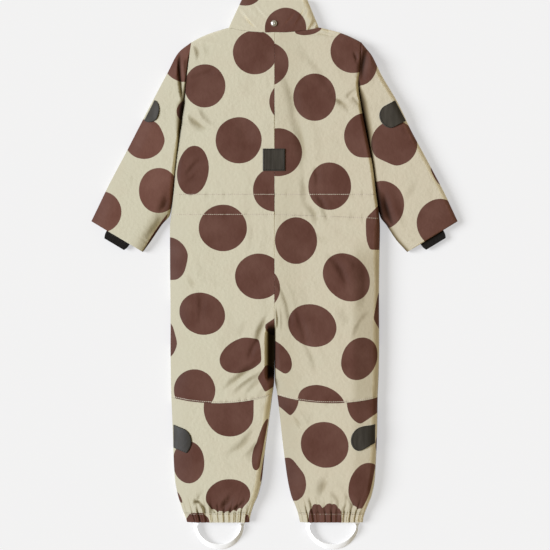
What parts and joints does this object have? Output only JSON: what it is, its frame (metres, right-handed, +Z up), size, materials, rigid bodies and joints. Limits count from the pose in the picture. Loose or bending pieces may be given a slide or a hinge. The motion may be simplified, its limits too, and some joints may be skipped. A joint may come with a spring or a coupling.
{
  "type": "snowsuit",
  "caption": "Child's padded one-piece snowsuit laid flat face down, with stand collar, knit inner cuffs, gathered leg hems and foot straps.",
  "frame": {"origin": "on the surface the suit lies on, below the middle of its outline", "axes": "+Y along the body from the foot straps to the collar, +X across to the right sleeve as seen from above, +Z up from the surface towards the suit's back"},
  "size_m": [0.6608, 0.996, 0.0268],
  "materials": {
    "padded_cloth": "matt coated polyester with large brown dots",
    "knit_cuff": "ribbed knit",
    "reflector": "dull reflective film on cloth",
    "strap_elastic": "smooth milky silicone",
    "metal": "satin",
    "zip_tape": "woven tape with moulded teeth"
  },
  "bodies": {
    "root": {"back_left": "padded_cloth", "back_right": "padded_cloth", "collar": "padded_cloth", "cuff_left": "knit_cuff", "cuff_right": "knit_cuff", "foot_strap_left": "strap_elastic", "foot_strap_right": "strap_elastic", "front_left": "padded_cloth", "front_right": "padded_cloth", "leg_casing_left": "padded_cloth", "leg_casing_right": "padded_cloth", "lower_leg_left": "padded_cloth", "lower_leg_right": "padded_cloth", "press_stud": "metal", "reflector_back": "reflector", "reflector_leg_left": "reflector", "reflector_leg_right": "reflector", "reflector_sleeve_left": "reflector", "reflector_sleeve_right": "reflector", "sleeve_left": "padded_cloth", "sleeve_right": "padded_cloth", "zip_slider": "metal", "zip_strip": "zip_tape"}
  },
  "joints": []
}
